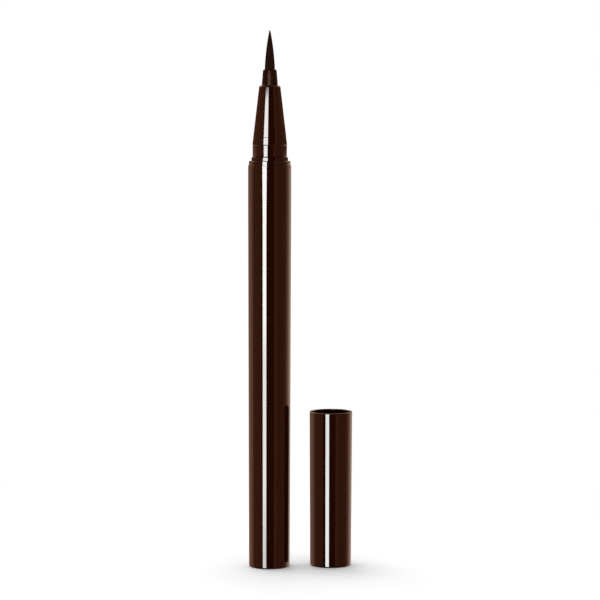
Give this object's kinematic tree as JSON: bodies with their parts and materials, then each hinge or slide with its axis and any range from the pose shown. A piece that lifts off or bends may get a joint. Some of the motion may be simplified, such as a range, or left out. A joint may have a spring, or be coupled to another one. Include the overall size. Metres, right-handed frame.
{
  "type": "liquid eyeliner pen",
  "caption": "Slim liquid eyeliner pen standing on its tail, with a nose cone and pointed fibre nib; its lift-off cap stands beside it with a sprung inner cap.",
  "frame": {"origin": "centre of the pen's flat tail face", "axes": "+Z along the pen's axis from tail to nib, +X from the pen towards the cap that stands beside it, +Y away from the viewer"},
  "size_m": [0.0258, 0.0124, 0.1325],
  "materials": {
    "gloss_shell": "high gloss, very dark brown",
    "satin_plastic": "satin, very dark brown",
    "inked_fibre": "matte fibre soaked with dark ink",
    "natural_plastic": "satin, natural white",
    "seal_rubber": "matte",
    "bright_steel": "bright"
  },
  "bodies": {
    "pen": {"barrel": "gloss_shell", "tail_plug": "gloss_shell", "tail_seal": "seal_rubber", "ink_collector": "natural_plastic", "relay_core": "inked_fibre", "front_section": "gloss_shell", "section_seal": "seal_rubber", "collar_ring": "gloss_shell", "snap_ring": "gloss_shell", "nib_holder": "satin_plastic", "nib": "inked_fibre"},
    "cap": {"cap_shell": "gloss_shell", "inner_cap_retainer": "satin_plastic", "inner_cap_spring": "bright_steel"},
    "sealing_cup": {"inner_cap": "natural_plastic"},
    "ball": {"mixing_ball": "bright_steel"}
  },
  "joints": [
    {"name": "cap_lift", "type": "slide", "parent": "pen", "child": "cap", "axis": [0, 0, 1], "range_m": [0, 0.134]},
    {"name": "inner_cap_press", "type": "slide", "parent": "cap", "child": "sealing_cup", "axis": [0, 0, -1], "range_m": [0, 0.0015], "stiffness_N_per_m": 300, "springref_m": -0.001, "deforming": ["inner_cap_spring"]},
    {"name": "ball_run", "type": "slide", "parent": "pen", "child": "ball", "axis": [0, 0, 1], "range_m": [0, 0.062]}
  ]
}
